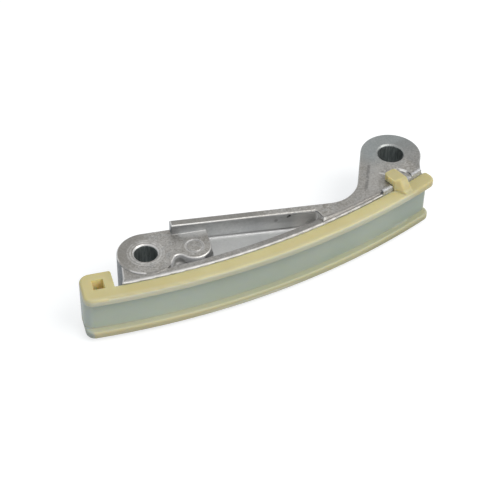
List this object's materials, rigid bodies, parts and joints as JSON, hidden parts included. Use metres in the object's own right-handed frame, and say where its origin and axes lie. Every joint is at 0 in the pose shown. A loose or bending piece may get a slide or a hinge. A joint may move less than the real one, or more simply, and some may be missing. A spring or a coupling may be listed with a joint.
{
  "type": "timing chain guide",
  "caption": "Curved engine timing chain guide: a die-cast metal bracket with bolt bosses at its ends and a moulded nylon shoe clipped on its convex front.",
  "frame": {"origin": "axis of the left bolt hole, in the plane of the mounting faces under the two bosses", "axes": "+X from the left to the right bolt hole, -Y towards the chain, +Z along the bolts, away from the engine block"},
  "size_m": [0.1497, 0.0369, 0.0261],
  "materials": {
    "casting": "as-cast, fine grey mottle, drilled bolt holes",
    "shoe": "natural nylon, cream, satin, slightly translucent"
  },
  "bodies": {
    "root": {"cast_bracket": "casting", "guide_shoe": "shoe"}
  },
  "joints": []
}
